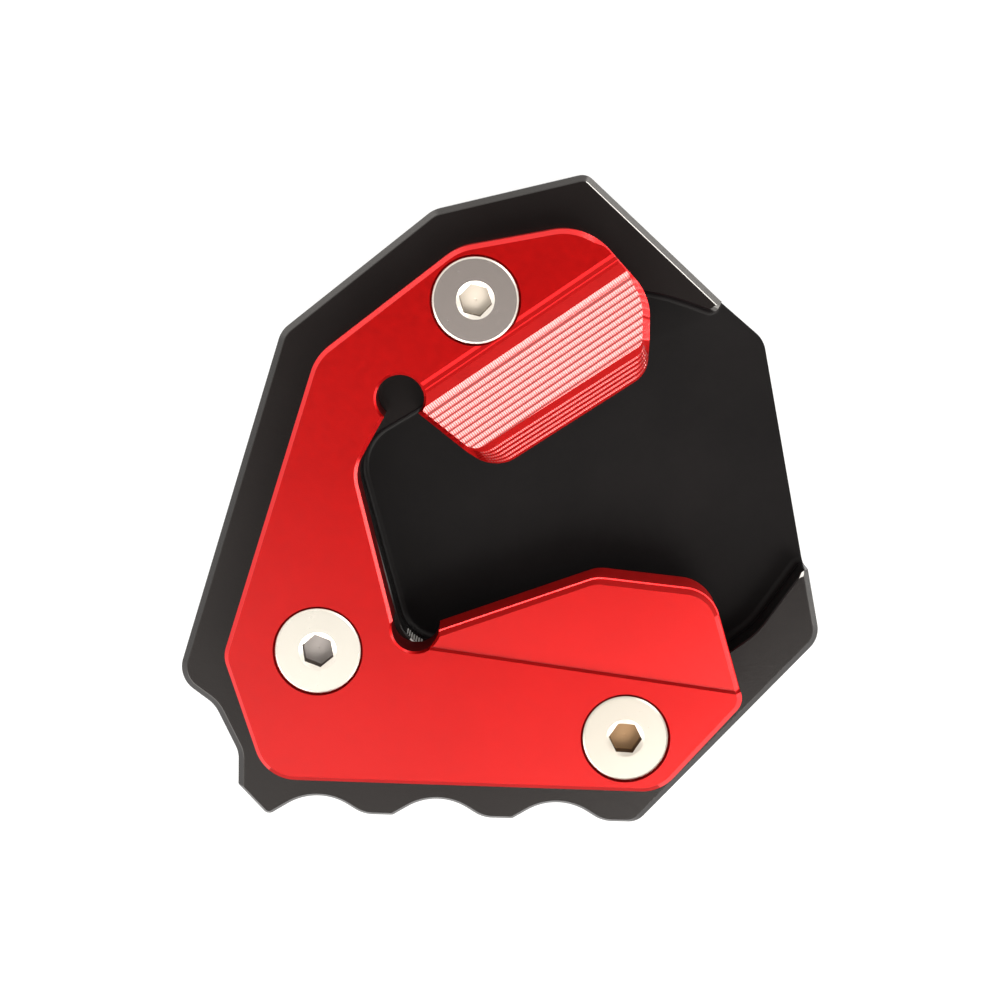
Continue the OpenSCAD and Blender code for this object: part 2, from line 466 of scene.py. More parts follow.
def jaw_line(at, turn, side, s, reach):
    """Ends of the line on the plan that lies at distance s from a jaw's line."""
    a = math.radians(turn)
    along = Vector((math.cos(a), math.sin(a)))
    across = side * Vector((-math.sin(a), math.cos(a)))
    middle = Vector(at) + across * s
    return [middle - along * reach, middle + along * reach]


def inside(p, loop):
    """Whether a point is inside a closed loop of points."""
    odd = False
    for a, b in zip(loop, loop[1:] + loop[:1]):
        if (a.y > p.y) != (b.y > p.y) and p.x < (b.x - a.x) * (p.y - a.y) / (b.y - a.y) + a.x:
            odd = not odd
    return odd


def middle_of(tri, points):
    return sum((points[i] for i in tri), Vector((0, 0))) / 3


def plane_mesh(loop, holes, lines):
    """Triangles that fill a loop with holes, cut along the lines."""
    verts, edges = [], []
    for ring in [loop] + holes:
        start = len(verts)
        verts += ring
        edges += [(start + i, start + (i + 1) % len(ring)) for i in range(len(ring))]
    for a, b in lines:
        edges.append((len(verts), len(verts) + 1))
        verts += [a, b]
    out = delaunay_2d_cdt(verts, edges, [], 0, WELD / 100)
    points = out[0]
    kept = []
    for tri in out[2]:
        centre = middle_of(tri, points)
        if inside(centre, loop) and not any(inside(centre, h) for h in holes):
            kept.append(tri)
    return points, kept


def boundary_loops(triangles):
    """Closed chains of the edges that only one triangle has, in the triangles' own sense."""
    seen = {}
    for tri in triangles:
        for a, b in zip(tri, list(tri[1:]) + [tri[0]]):
            seen[(a, b)] = True
    follow = {a: b for a, b in seen if (b, a) not in seen}
    loops = []
    while follow:
        here = next(iter(follow))
        chain = []
        while here in follow:
            chain.append(here)
            here = follow.pop(here)
        loops.append(chain)
    return loops


def nearest_on_loop(p, loop):
    """Edge number and share along it of the loop's point nearest to p."""
    best = (math.inf, 0, 0)
    for i, a in enumerate(loop):
        d = loop[(i + 1) % len(loop)] - a
        share = 0 if d.length < TINY else max(0, min(1, (p - a).dot(d) / d.length_squared))
        gap = (a + d * share - p).length
        if gap < best[0] - TINY:
            best = (gap, i, share)
    return best[1], best[2]


def new_object(name, bm):
    """Turns a bmesh into an object of the scene."""
    mesh = bpy.data.meshes.new(name)
    bm.to_mesh(mesh)
    bm.free()
    obj = bpy.data.objects.new(name, mesh)
    bpy.context.scene.collection.objects.link(obj)
    return obj


def new_piece(name, bm, body, replaced, materials, sharp):
    """Turns a bmesh in millimetres into a piece that rides on a body."""
    bmesh.ops.remove_doubles(bm, verts=bm.verts, dist=WELD)
    bmesh.ops.dissolve_degenerate(bm, edges=bm.edges, dist=WELD / 10)
    bmesh.ops.recalc_face_normals(bm, faces=bm.faces)
    bmesh.ops.scale(bm, vec=(MM, MM, MM), verts=bm.verts)
    piece = new_object(name, bm)
    mesh = piece.data
    for material in materials:
        mesh.materials.append(material)
    mesh.polygons.foreach_set("use_smooth", [True] * len(mesh.polygons))
    mesh.set_sharp_from_angle(angle=math.radians(sharp))
    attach(piece, body)
    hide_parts(replaced)


def loft(bm, rings):
    """Joins rings of equally many points into a closed skin, lowest ring first."""
    rows = [[bm.verts.new(p) for p in ring] for ring in rings]
    for low, high in zip(rows, rows[1:]):
        for i in range(len(low)):
            k = (i + 1) % len(low)
            bm.faces.new((low[i], high[i], high[k], low[k]))
    bm.faces.new(rows[0])
    bm.faces.new(list(reversed(rows[-1])))


def at_height(points, z):
    return [Vector((p.x, p.y, z)) for p in points]


def new_solid(name, bm):
    """An object in millimetres for a cut. Its empty slots let the faces keep their finishes."""
    bmesh.ops.remove_doubles(bm, verts=bm.verts, dist=WELD)
    bmesh.ops.recalc_face_normals(bm, faces=bm.faces)
    obj = new_object(name, bm)
    for _ in range(BASE_FILLET_SHADE + 1):
        obj.data.materials.append(None)
    return obj


def cut(target, tools):
    """Subtracts solids from a solid, and gives the result as a bmesh."""
    for tool in tools:
        modifier = target.modifiers.new("cut", "BOOLEAN")
        modifier.operation = "DIFFERENCE"
        modifier.solver = "EXACT"
        modifier.object = tool
    bm = bmesh.new()
    bm.from_object(target, bpy.context.evaluated_depsgraph_get())
    for obj in [target] + tools:
        bpy.data.objects.remove(obj)
    return bm


# Base plate

def edge_y(x):
    """The line through the tips of the teeth."""
    return EDGE_Y + EDGE_RISE * (EDGE_X - x)


def base_corners():
    """Corners of the base plate's outline, with its scalloped lower edge."""
    corners = list(RIGHT_CORNERS)
    for i in range(SCALLOP_COUNT):
        x = SCALLOP_X - i * SCALLOP_PITCH
        right, left = x + SCALLOP_HALF_W, x - SCALLOP_HALF_W
        corners.append((right, edge_y(right), TOOTH_ROUND_R))
        corners.append((x, edge_y(x) + SCALLOP_PEAK, SCALLOP_R))
        last = i == SCALLOP_COUNT - 1
        corners.append(TIP_CORNER if last else (left, edge_y(left), TOOTH_SHARP_R))
    return corners + LEFT_CORNERS


def base_block():
    """The base plate before its pocket and holes are cut."""
    corners = base_corners()
    first = len(RIGHT_CORNERS) - 1
    scalloped = range(first, first + 3 * SCALLOP_COUNT + 1)
    share = [SCALLOP_CHAMFER / EDGE_CHAMFER if i in scalloped else 1
             for i in range(len(corners))]
    levels = [(0, FOOT_CHAMFER), (FOOT_CHAMFER, 0), (BASE_T - EDGE_CHAMFER, 0),
              (BASE_T - EDGE_BEVEL_DROP, EDGE_CHAMFER_W - EDGE_BEVEL_DROP),
              (BASE_T, EDGE_CHAMFER_W - EDGE_BEVEL_DROP + EDGE_BEVEL_W)]
    bm = bmesh.new()
    loft(bm, [at_height(outline(corners, [w * k for k in share]), z) for z, w in levels])
    bm.normal_update()
    for face in bm.faces:
        z = face.calc_center_median().z
        if BASE_T - EDGE_CHAMFER < z < BASE_T and face.normal.y > SMOOTH_LEAN:
            bare_bevel = z > BASE_T - EDGE_BEVEL_DROP and face.normal.x > BARE_BEVEL_LEAN
            face.material_index = BASE_BARE if bare_bevel else BASE_EDGE
    return new_solid("base_block", bm)


def pocket_levels():
    """Heights of the pocket cutter's rings, and how far inwards its wall stands at each."""
    levels = []
    for k in range(FILLET_STEPS + 1):
        a = math.radians(90 * k / FILLET_STEPS)
        levels.append((FLOOR_T + POCKET_FILLET * (1 - math.cos(a)),
                       POCKET_FILLET * (1 - math.sin(a))))
    levels += [(CHATTER_Z[0], 0), (CHATTER_Z[1], 0)]
    return levels + [(BASE_T - POCKET_EDGE, 0), (BASE_T + PAST, -POCKET_EDGE - PAST)]


def pocket_cutter():
    """The end mill's way round the pocket, with a fillet at the floor."""
    corners = list(reversed(POCKET_WALL + POCKET_OUTSIDE))
    n = len(corners)
    rings = []
    for z, w in pocket_levels():
        widths = [w] * n
        if w < 0:
            for edge in RIM_END_EDGES:
                widths[n - 2 - edge] = w * RIM_END_EDGE / POCKET_EDGE
        rings.append(at_height(outline(corners, widths, chatter=n - 1 - CHATTER_CORNER), z))
    bm = bmesh.new()
    loft(bm, rings)
    count = len(rings[0])
    for k, face in enumerate(bm.faces):
        face.material_index = pocket_material(k % count, face.calc_center_median())
    return new_solid("pocket_cutter", bm)


def pocket_material(spot, centre):
    """Which finish a face of the pocket has: chatter marks are cut down to bare metal, and the
    floor and its fillet get a darker, duller black as painted shade at the pocket's bottom.
    """
    def near(at, reach):
        return (centre.xy - Vector(at)).length < reach

    on_marks = near(CHATTER_AT, CHATTER_REACH) and CHATTER_Z[0] < centre.z < CHATTER_Z[1]
    if on_marks and spot % 2:
        return BASE_BARE
    if centre.z > BASE_T - POCKET_EDGE:
        if near(CHATTER_LIP_AT, CHATTER_LIP_REACH) or near(RIM_CHIP_AT, RIM_CHIP_REACH):
            return BASE_BARE
        return BASE_EDGE if near(RIM_END_AT, RIM_END_REACH) else BASE_MILLED
    return BASE_FILLET_SHADE if centre.z < FLOOR_T + POCKET_FILLET else BASE_MILLED


def tapped_cutter(name, at):
    """Cuts one tapped hole with a chamfer at each end."""
    wide = TAPPED_R + PAST + TAPPED_CHAMFER
    levels = [(-PAST, wide), (TAPPED_CHAMFER, TAPPED_R), (BASE_T - TAPPED_CHAMFER, TAPPED_R),
              (BASE_T + PAST, wide)]
    angles = [2 * math.pi * k / HOLE_STEPS for k in range(HOLE_STEPS)]
    bm = bmesh.new()
    loft(bm, [[Vector((at[0] + r * math.cos(a), at[1] + r * math.sin(a), z)) for a in angles]
              for z, r in levels])
    return new_solid(name, bm)


def make_base(materials):
    tools = [pocket_cutter()]
    tools += [tapped_cutter("tapped_" + name, at) for name, (at, _) in SCREWS.items()]
    bm = cut(base_block(), tools)
    new_piece("base_plate_look", bm, "base", "base_plate", materials,
              SHARP_PLATE)


# Clamp plate

def fade_share(s, t):
    """Share of its width that the edge chamfer has at a place from upper_place."""
    if t <= FADE_ALONG or not FADE_ACROSS[0] < s < FADE_ACROSS[1]:
        return 1
    if s < 0:
        share = (-FADE_BEFORE - s) / FADE_BEFORE_W
    else:
        share = (s - FADE_AFTER) / FADE_AFTER_W
    return max(FADE_LEAST, min(1, share))


def fade(outer, inner):
    """Lets the edge chamfer run out where the upper jaw's cut meets the outline."""
    return [o + (i - o) * fade_share(*upper_place(o)) for o, i in zip(outer, inner)]


def seat_z(r):
    """Height of a countersink's slope at a radius."""
    return TOP_Z - SEAT_WALL - (SEAT_R - r)


def seat_mouth(at):
    """The countersink's mouth, which is lower where the upper jaw is cut away."""
    centre = Vector(at)
    loop = []
    for k in range(HOLE_STEPS):
        a = -2 * math.pi * k / HOLE_STEPS
        u = Vector((math.cos(a), math.sin(a)))
        low, high = HOLE_R, SEAT_R
        for _ in range(SEAT_HALVINGS):
            r = (low + high) / 2
            if surface_z(centre + u * r) < seat_z(r):
                high = r
            else:
                low = r
        loop.append(centre + u * low)
    return loop


def resample(path, count):
    """Points at even steps along a path, its two ends included."""
    lengths = [(b - a).length for a, b in zip(path, path[1:])]
    total = sum(lengths)
    points = []
    for k in range(count):
        left = total * k / (count - 1)
        i = 0
        while i < len(lengths) - 1 and left > lengths[i]:
            left -= lengths[i]
            i += 1
        points.append(path[i].lerp(path[i + 1], min(1, left / lengths[i])))
    return points


def fan_out(outer, inner, owners):
    """Keeps the chamfers beside the jaw's steep face square to their own edges."""
    at = [Vector(c[0][:2]) for c in CLAMP]
    for corner, edge, end in ((FOOT_EDGE, FOOT_EDGE - 1, 0), (FOOT_EDGE + 1, FOOT_EDGE + 1, -1)):
        spots = [i for i, owner in enumerate(owners) if owner == corner]
        normal = right_normal(at[edge], at[edge + 1])
        square = inner[spots[end]] - normal * CLAMP[edge][1]
        path = [outer[i] for i in spots]
        path = [square] + path if end == 0 else path + [square]
        for i, p in zip(spots, resample(path, len(spots))):
            outer[i] = p


def foot_fall(share):
    """Share of the fall at a share of the way down the jaw's steep foot."""
    if share <= FOOT_BAND:
        return share * FOOT_BAND_FALL
    step = (share - FOOT_BAND) / (1 - FOOT_BAND) * JAW_FOOT_STEPS
    whole = math.floor(step + TINY)
    rest = step - whole
    if rest < TREAD_W:
        rise = rest / TREAD_W * TREAD_DROP
    else:
        rise = TREAD_DROP + (rest - TREAD_W) / (1 - TREAD_W) * (1 - TREAD_DROP)
    band_fall = FOOT_BAND * FOOT_BAND_FALL
    return band_fall + (1 - band_fall) * (whole + rise) / JAW_FOOT_STEPS


def chamfer_shares():
    """Shares of the way across the edge chamfer at which its cross-section may bend."""
    shares = [FOOT_BAND]
    for k in range(JAW_FOOT_STEPS):
        for bend in (k + TREAD_W, k + 1):
            shares.append(FOOT_BAND + (1 - FOOT_BAND) * bend / JAW_FOOT_STEPS)
    return shares


CHAMFER_SHARES = chamfer_shares()


def lip_weight(p, outward):
    """How much of the thin raised lip the lower jaw's edge has here: 0 to 1."""
    if p.x < LIP_X or not LIP_Y[0] < p.y < LIP_Y[1]:
        return 0
    return max(0, min(1, (outward.y - LIP_LEAN) / LIP_LEAN_RANGE))


def foot_weight(owner, next_owner, width):
    """How far the edge chamfer has widened into the jaw's steep foot: 0 to 1."""
    if owner not in FOOT_CORNERS and next_owner not in FOOT_CORNERS:
        return 0
    return max(0, min(1, (width - FOOT_NARROW) / FOOT_WIDEN))


def cove_material(s):
    """The cove's bright lines get the lighter edge red, a painted highlight over its gloss, and
    the faces between them are matt.
    """
    return CLAMP_EDGE_HIGHLIGHT if s < COVE[1][0] or COVE[2][0] < s < COVE[3][0] else CLAMP_WALL


def top_material(centre):
    """Which finish a face of the clamp's upper surface has."""
    s, t = lower_place(centre)
    if s < STEP[1][0] and on_lower_jaw(s, t):
        return CLAMP_WALL
    s, t = upper_place(centre)
    if not on_upper_jaw(s, t):
        return CLAMP_PLAIN
    return CLAMP_RIBS if s > COVE[-1][0] else cove_material(s)


def side_material(k, steep, lip, matt, in_hole_shade):
    """Which finish a face of the clamp's edge has, counted down from the top face."""
    last = len(CHAMFER_SHARES)
    if k >= last:
        # Walls in the reliefs and the window get the near-black red of the painted shade
        return CLAMP_BORE_SHADE if in_hole_shade else CLAMP_WALL
    if lip > LIP_CLEAR:
        return CLAMP_EDGE_HIGHLIGHT if k > last - LIP_FACES else CLAMP_WALL
    if matt or 0 < steep < FOOT_PLAIN:
        return CLAMP_WALL
    if steep > 0:
        return CLAMP_WALL if k % 2 == 0 else CLAMP_RIBS
    # Other chamfers get the lighter red of the painted highlight
    return CLAMP_EDGE_HIGHLIGHT


def lay_top(bm, points, triangles):
    """Makes the clamp's upper surface, and gives its vertices by point number."""
    top = {}
    for tri in triangles:
        for i in tri:
            if i not in top:
                top[i] = bm.verts.new((points[i].x, points[i].y, surface_z(points[i])))
        face = bm.faces.new([top[i] for i in tri])
        face.material_index = top_material(middle_of(tri, points))
    return top


def seat_column(bm, p, mouth, centre):
    """Vertices down a countersink and its clearance hole, from a point of its mouth."""
    low = centre + unit(p - centre) * HOLE_R
    ledge = min(mouth.co.z - SEAT_LEDGE, seat_z((p - centre).length))
    column = [mouth, bm.verts.new((p.x, p.y, ledge))]
    return column + [bm.verts.new((low.x, low.y, z)) for z in (seat_z(HOLE_R), BASE_T)]


def chamfer_column(bm, p, w, z_in, steep, lip):
    """Vertices across the edge chamfer, from p at the top face's rim to w at its outer side."""
    z_out = smooth_z(p) - (w - p).length
    z_out = z_out + steep * (BASE_T + FOOT_LAND - z_out)
    column = []
    for part in CHAMFER_SHARES:
        q = p.lerp(w, part)
        fall = (1 - steep) * part + steep * foot_fall(part)
        z = z_in + (z_out - z_in) * fall
        if lip > 0 and part > LIP_START:
            trough = z_in + (z_out - z_in) * LIP_START
            raised = trough + LIP_RISE * (part - LIP_START) / (1 - LIP_START)
            z += lip * (raised - z)
        column.append(bm.verts.new((q.x, q.y, z)))
    return column


def wall_column(bm, w, f, outward, z_top):
    """Vertices down the outer wall, which has fine level lines, from w down to f."""
    z_low = BASE_T + BOTTOM_EDGE
    column = []
    for k in range(1, WALL_LINES + 1):
        depth = WALL_LINE_DEPTH * (k % 2) * min(1, (z_top - z_low) / WALL_LINE_FULL)
        q = w.lerp(f, k / (WALL_LINES + 1)) - outward * depth
        z = z_top + (z_low - z_top) * k / (WALL_LINES + 1)
        column.append(bm.verts.new((q.x, q.y, z)))
    low = f - outward * BOTTOM_EDGE
    column.append(bm.verts.new((f.x, f.y, z_low)))
    column.append(bm.verts.new((low.x, low.y, BASE_T)))
    return column


def edge_columns(bm, rim, inner, wall, foot, owners):
    """Columns of vertices down the clamp's edge, and what decides the finish after each.
    The rim gives the points of the top face's outline with their vertices."""
    columns, notes = [], []
    for p, vert in rim:
        edge, share = nearest_on_loop(p, inner)
        k_next = (edge + 1) % len(inner)
        w = wall[edge].lerp(wall[k_next], share)
        f = foot[edge].lerp(foot[k_next], share)
        outward = unit(f - p)
        steep = foot_weight(owners[edge], owners[k_next], (w - p).length)
        lip = lip_weight(p, outward)
        column = [vert] + chamfer_column(bm, p, w, vert.co.z, steep, lip)
        columns.append(column + wall_column(bm, w, f, outward, column[-1].co.z))
        # Chamfers facing -Y get the dark matt red as painted shade
        matt = outward.y < SHADED_CHAMFER_LEAN and steep == 0
        # Walls of the reliefs and the window are marked for the painted shade
        in_hole_shade = owners[edge] in SHADED_EDGES or owners[edge] == owners[k_next] == LOWER_RELIEF
        notes.append((steep, lip, matt, in_hole_shade))
    return columns, notes


def join_columns(bm, columns, finish):
    """Joins neighbouring columns with faces, and gives the ring of their lowest points.
    finish gives the finish for a column's number and a face's number, counted down."""
    for i, (a, b) in enumerate(zip(columns, columns[1:] + columns[:1])):
        for k in range(len(a) - 1):
            face = bm.faces.new((b[k], a[k], a[k + 1], b[k + 1]))
            face.material_index = finish(i, k)
    return [Vector(c[-1].co.xy) for c in columns]


def lay_underside(bm, outer_ring, hole_rings):
    under, triangles = plane_mesh(outer_ring, hole_rings, [])
    verts = [bm.verts.new((p.x, p.y, BASE_T)) for p in under]
    for tri in triangles:
        bm.faces.new([verts[i] for i in reversed(tri)])


def make_clamp(materials):
    """The clamp plate: its upper surface, then its edge and seats, then its underside."""
    foot, owners = clamp_outline([0] * len(CLAMP), 0)
    wall, _ = clamp_outline([draft for _, _, draft in CLAMP], 0)
    inner, _ = clamp_outline([width + draft for _, width, draft in CLAMP], RELIEF_EDGE)
    fan_out(foot, inner, owners)
    fan_out(wall, inner, owners)
    inner = fade(wall, inner)
    mouths = [seat_mouth(at) for at, _ in SCREWS.values()]
    lines = [jaw_line(CREASE_AT, CREASE_TURN, -1, s, CREASE_REACH) for s, _ in UPPER[:-1]]
    lines += [jaw_line(STEP_AT, STEP_TURN, 1, s, STEP_REACH) for s, _ in STEP[:-1]]
    points, triangles = plane_mesh(inner, mouths, lines)
    bm = bmesh.new()
    top = lay_top(bm, points, triangles)
    centres = [Vector(at) for at, _ in SCREWS.values()]
    outer_ring, hole_rings = [], []
    for chain in boundary_loops(triangles):
        rim = [(points[i], top[i]) for i in chain]
        seats = [c for c in centres if (rim[0][0] - c).length < SEAT_R + SEAT_NEAR]
        if seats:
            columns = [seat_column(bm, p, vert, seats[0]) for p, vert in rim]
            hole_rings.append(join_columns(bm, columns, lambda i, k: CLAMP_WALL))
        else:
            columns, notes = edge_columns(bm, rim, inner, wall, foot, owners)
            outer_ring = join_columns(bm, columns, lambda i, k: side_material(k, *notes[i]))
    lay_underside(bm, outer_ring, hole_rings)
    new_piece("clamp_plate_look", bm, "clamp", "clamp_plate", materials,
              SHARP_PLATE)


# Screws

def hex_radius(a):
    """Radius of the hex socket at an angle."""
    sixth = math.pi / 3
    return SOCKET_AF / 2 / math.cos((a % sixth) - sixth / 2)


def mouth_z(r):
    """Height of the cone round the socket's mouth at a radius."""
    return HEAD_Z - MOUTH_SLOPE * (MOUTH_R - r)


def screw_ring(at, turn, radius, z):
    """Points round a screw's axis. Radius and height are numbers or functions of the angle."""
    points = []
    for k in range(HOLE_STEPS):
        a = 2 * math.pi * k / HOLE_STEPS
        r = radius(a) if callable(radius) else radius
        height = z(a) if callable(z) else z
        b = a + math.radians(turn)
        points.append(Vector((at[0] + r * math.cos(b), at[1] + r * math.sin(b), height)))
    return points


def head_profile():
    """Radius and height of each ring of the head, from the socket's floor to the neck."""
    return [
        (AXIS_R, SOCKET_Z - DIMPLE_DROP), (DIMPLE_R, SOCKET_Z),
        (lambda a: hex_radius(a) - SOCKET_ROOT, SOCKET_Z),
        (hex_radius, SOCKET_Z + SOCKET_ROOT),
        (hex_radius, lambda a: mouth_z(hex_radius(a)) - SOCKET_EDGE_DROP),
        (lambda a: hex_radius(a) + SOCKET_EDGE_W,
         lambda a: mouth_z(hex_radius(a) + SOCKET_EDGE_W)),
        (MOUTH_R, HEAD_Z),
        (HEAD_R - RIM_W, HEAD_Z), (HEAD_R - RIM_EDGE_W, HEAD_Z - RIM_DROP),
        (HEAD_R, HEAD_Z - RIM_DROP - RIM_EDGE_DROP), (HEAD_R, LAND_Z),
        (SHANK_R + NECK_EXTRA, NECK_Z), (SHANK_R - RUNOUT_DEPTH, THREAD_TOP),
    ]


def thread_radius(turn, z):
    """The thread's radius at a height, as a function of the angle."""
    fade_in = min(1, (THREAD_TOP - z) / THREAD_FADE_TOP, (z - THREAD_LOW) / THREAD_FADE_LOW)

    def radius(a):
        phase = ((z / THREAD_PITCH - (a + math.radians(turn)) / (2 * math.pi)) % 1) * 2 - 1
        return SHANK_R - THREAD_CREST - THREAD_DEPTH * max(0, fade_in) * abs(phase)
    return radius


def thread_profile(turn):
    """Radius and height of each ring of the thread, down to the tip."""
    rows = int((THREAD_TOP - THREAD_LOW) / THREAD_PITCH * THREAD_ROWS)
    heights = [THREAD_TOP - (THREAD_TOP - THREAD_LOW) * k / rows for k in range(1, rows + 1)]
    return ([(thread_radius(turn, z), z) for z in heights]
            + [(SHANK_R - TIP_IN, TIP_Z), (AXIS_R, TIP_Z)])


def screw_material(centre, r):
    """Which finish a face of a screw has."""
    in_socket = SOCKET_Z - FLOOR_NEAR < centre.z < HEAD_Z - SOCKET_BELOW
    if in_socket and r < MOUTH_R - SOCKET_IN:
        return SOCKET_WALL if centre.z > SOCKET_Z + FLOOR_NEAR else SOCKET_FLOOR
    return SCREW_FLAT if centre.z > HEAD_Z - FLAT_NEAR else SCREW_SIDE


def make_screw(name, at, turn, materials):
    """A countersunk socket screw: hex socket, head, neck, and a real thread."""
    rings = [screw_ring(at, turn, r, z) for r, z in head_profile() + thread_profile(turn)]
    bm = bmesh.new()
    loft(bm, list(reversed(rings)))
    for face in bm.faces:
        centre = face.calc_center_median()
        face.material_index = screw_material(centre, (centre.xy - Vector(at)).length)
    new_piece("screw_" + name + "_look", bm, name + "_screw",
              "screw_" + name, materials, SHARP_SCREW)


# Materials

def set_inputs(node, values):
    """Gives a node's inputs fixed values, by their names."""
    for key, value in values.items():
        node.inputs[key].default_value = value


def new_material(name):
    """A new material, with its node tree and its shader."""
    material = bpy.data.materials.new(name)
    material.use_nodes = True
    return material, material.node_tree, material.node_tree.nodes["Principled BSDF"]


def noise(tree, scale, detail=4):
    """Noise on the piece's own coordinates, at so many cells per metre."""
    place = tree.nodes.new("ShaderNodeTexCoord")
    node = tree.nodes.new("ShaderNodeTexNoise")
    set_inputs(node, {"Scale": scale, "Detail": detail, "Roughness": NOISE_ROUGH})
    tree.links.new(place.outputs["Object"], node.inputs["Vector"])
    return node.outputs["Fac"]


def blend(tree, value, low, high, target):
    """Drives an input from low to high, colours or numbers, over a noise's middle range."""
    node = tree.nodes.new("ShaderNodeValToRGB")
    for element, place, color in zip(node.color_ramp.elements, NOISE_RANGE, (low, high)):
        element.position = place
        element.color = (*color, 1) if isinstance(color, tuple) else (color, color, color, 1)
    tree.links.new(value, node.inputs["Fac"])
    tree.links.new(node.outputs["Color"], target)


def bump(tree, height, strength, distance, targets):
    node = tree.nodes.new("ShaderNodeBump")
    set_inputs(node, {"Strength": strength, "Distance": distance})
    tree.links.new(height, node.inputs["Height"])
    for target in targets:
        tree.links.new(node.outputs["Normal"], target)


def add_coat(shader, rough, ior):
    """The clear oxide skin, which reflects white over the dyed metal."""
    set_inputs(shader, {"Specular IOR Level": 0, "Coat Weight": 1, "Coat Roughness": rough,
                        "Coat IOR": ior})


def anodised(name, dark, light, rough, coat_rough, grain=1.0, metallic=1.0, ior=1.55):
    """Bead-blasted anodised aluminium: fine grain, faint blotches, uneven gloss."""
    material, tree, shader = new_material(name)
    slots = shader.inputs
    set_inputs(shader, {"Metallic": metallic})
    add_coat(shader, coat_rough, ior)
    blend(tree, noise(tree, BLOTCHES), dark, light, slots["Base Color"])
    blend(tree, noise(tree, GLOSS_SPOTS, 3), rough - GLOSS_SPREAD, rough + GLOSS_SPREAD,
          slots["Roughness"])
    bump(tree, noise(tree, GRAIN, 2), GRAIN_BUMP * grain, GRAIN_DEPTH,
         [slots["Normal"], slots["Coat Normal"]])
    return material


def milled_marks(tree, turn, pitch):
    """Fine parallel marks that wander slightly, at a pitch in millimetres."""
    place = tree.nodes.new("ShaderNodeTexCoord")
    spin = tree.nodes.new("ShaderNodeMapping")
    set_inputs(spin, {"Rotation": (0, 0, -math.radians(turn))})
    wave = tree.nodes.new("ShaderNodeTexWave")
    wave.wave_profile = "SIN"
    set_inputs(wave, {"Scale": WAVE_SCALE / (pitch * MM), "Distortion": RIB_MARK_WANDER,
                      "Detail": 1, "Detail Scale": 2})
    tree.links.new(place.outputs["Object"], spin.inputs["Vector"])
    tree.links.new(spin.outputs["Vector"], wave.inputs["Vector"])
    return wave.outputs["Fac"]


def milled(name, dark, light, rough, coat_rough, ior):
    """A face left by an end mill: fine parallel marks, less glossy in their valleys."""
    material, tree, shader = new_material(name)
    slots = shader.inputs
    set_inputs(shader, {"Metallic": 1, "Roughness": rough})
    add_coat(shader, coat_rough, ior)
    blend(tree, noise(tree, MILLED_BLOTCHES), dark, light, slots["Base Color"])
    marks = milled_marks(tree, CREASE_TURN, RIB_MARK_PITCH)
    blend(tree, marks, RIB_VALLEY_GLOSS, 1.0, slots["Coat Weight"])
    bump(tree, marks, 1, RIB_MARK_DEPTH * MM, [slots["Normal"], slots["Coat Normal"]])
    return material


def matt_metal(name, dark, light, rough):
    """A matt face, whose fine cutter marks scatter the light: no gloss of its own."""
    material, tree, shader = new_material(name)
    set_inputs(shader, {"Metallic": MATT_METALLIC, "Specular IOR Level": MATT_SPECULAR,
                        "Roughness": rough})
    blend(tree, noise(tree, MATT_BLOTCHES), dark, light, shader.inputs["Base Color"])
    return material


def turned_steel(name, color, rough):
    """Bright plated steel with faint wandering marks."""
    material, tree, shader = new_material(name)
    slots = shader.inputs
    set_inputs(shader, {"Metallic": 1})
    shaded = tuple(c * STEEL_SHADE for c in color)
    blend(tree, noise(tree, STEEL_BLOTCHES), shaded, color, slots["Base Color"])
    blend(tree, noise(tree, STEEL_GLOSS_SPOTS), rough - STEEL_GLOSS_SPREAD,
          rough + STEEL_GLOSS_SPREAD, slots["Roughness"])
    bump(tree, noise(tree, STEEL_GRAIN, 2), STEEL_BUMP, STEEL_DEPTH, [slots["Normal"]])
    return material


def base_materials():
    """Finishes of the base plate, in the order of BASE_PLAIN and its neighbours."""
    return [
        anodised("black_anodised_blast", BLACK_DARK, BLACK_LIGHT, 0.5, 0.14, metallic=0),
        anodised("black_anodised_milled", MILLED_DARK, MILLED_LIGHT, 0.5, 0.2, grain=0.3,
                 metallic=0, ior=1.34),
        matt_metal("bare_aluminium", (0.68, 0.68, 0.67), (0.78, 0.78, 0.77), 0.5),
        anodised("black_anodised_edge", BLACK_DARK, BLACK_LIGHT, 0.5, 0.16, grain=0.5,
                 metallic=0, ior=1.6),
        # The pocket's floor and fillet: a darker, duller black painted for the shade at its
        # bottom
        anodised("black_fillet_painted_shade", FILLET_PAINTED_SHADE, MILLED_LIGHT, 0.6, 0.35, grain=0.3,
                 metallic=0, ior=1.2),
    ]


def clamp_materials():
    """Finishes of the clamp plate, in the order of CLAMP_PLAIN and its neighbours."""
    return [
        anodised("red_anodised_blast", RED_DARK, RED_LIGHT, 0.37, 0.12),
        milled("red_anodised_ribs", RED_DARK, RED_LIGHT, 0.35, 0.12, 2.15),
        # Painted highlight: the edges' red is nearly twice as light as the plain faces', over the
        # real glossy coat
        anodised("red_edge_painted_highlight", (0.76, 0.012, 0.014), (0.84, 0.014, 0.016), 0.35,
                 0.12, grain=0.5, ior=1.3),
        matt_metal("red_anodised_wall", (0.33, 0.003, 0.003), (0.39, 0.004, 0.004), 0.6),
        # Painted shade: near-black red for the walls deep in the reliefs and the window
        matt_metal("red_bore_painted_shade", (0.08, 0.002, 0.003), (0.12, 0.003, 0.004), 0.6),
    ]


